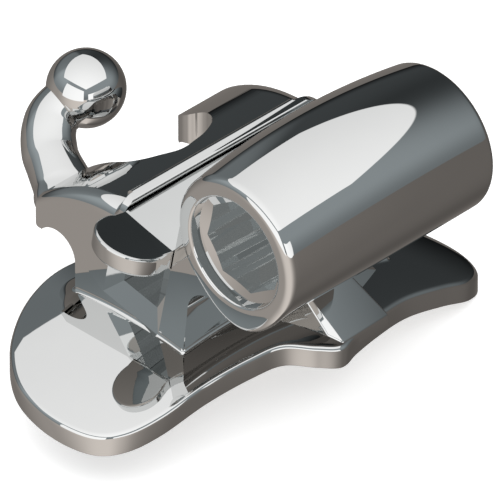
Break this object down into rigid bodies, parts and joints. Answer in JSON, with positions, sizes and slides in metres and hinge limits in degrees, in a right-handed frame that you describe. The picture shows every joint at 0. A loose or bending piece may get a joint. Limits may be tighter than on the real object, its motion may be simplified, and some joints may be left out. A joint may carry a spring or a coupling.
{
  "type": "buccal tube",
  "caption": "Convertible orthodontic molar tube: round headgear tube and capped archwire slot on a bowed bonding pad, with tie wings and a ball hook.",
  "frame": {"origin": "on the resting plane, under the middle of the part's box", "axes": "+X along the headgear tube from its mesial mouth to its distal end, +Y towards the gum side with the ball hook, +Z away from the tooth"},
  "size_m": [0.0064, 0.0056, 0.0042],
  "materials": {
    "polished_steel": "mirror-polished cast stainless steel",
    "cap_steel": "polished rolled stainless steel strip"
  },
  "bodies": {
    "root": {"tube_casting": "polished_steel", "slot_cap": "cap_steel"}
  },
  "joints": []
}
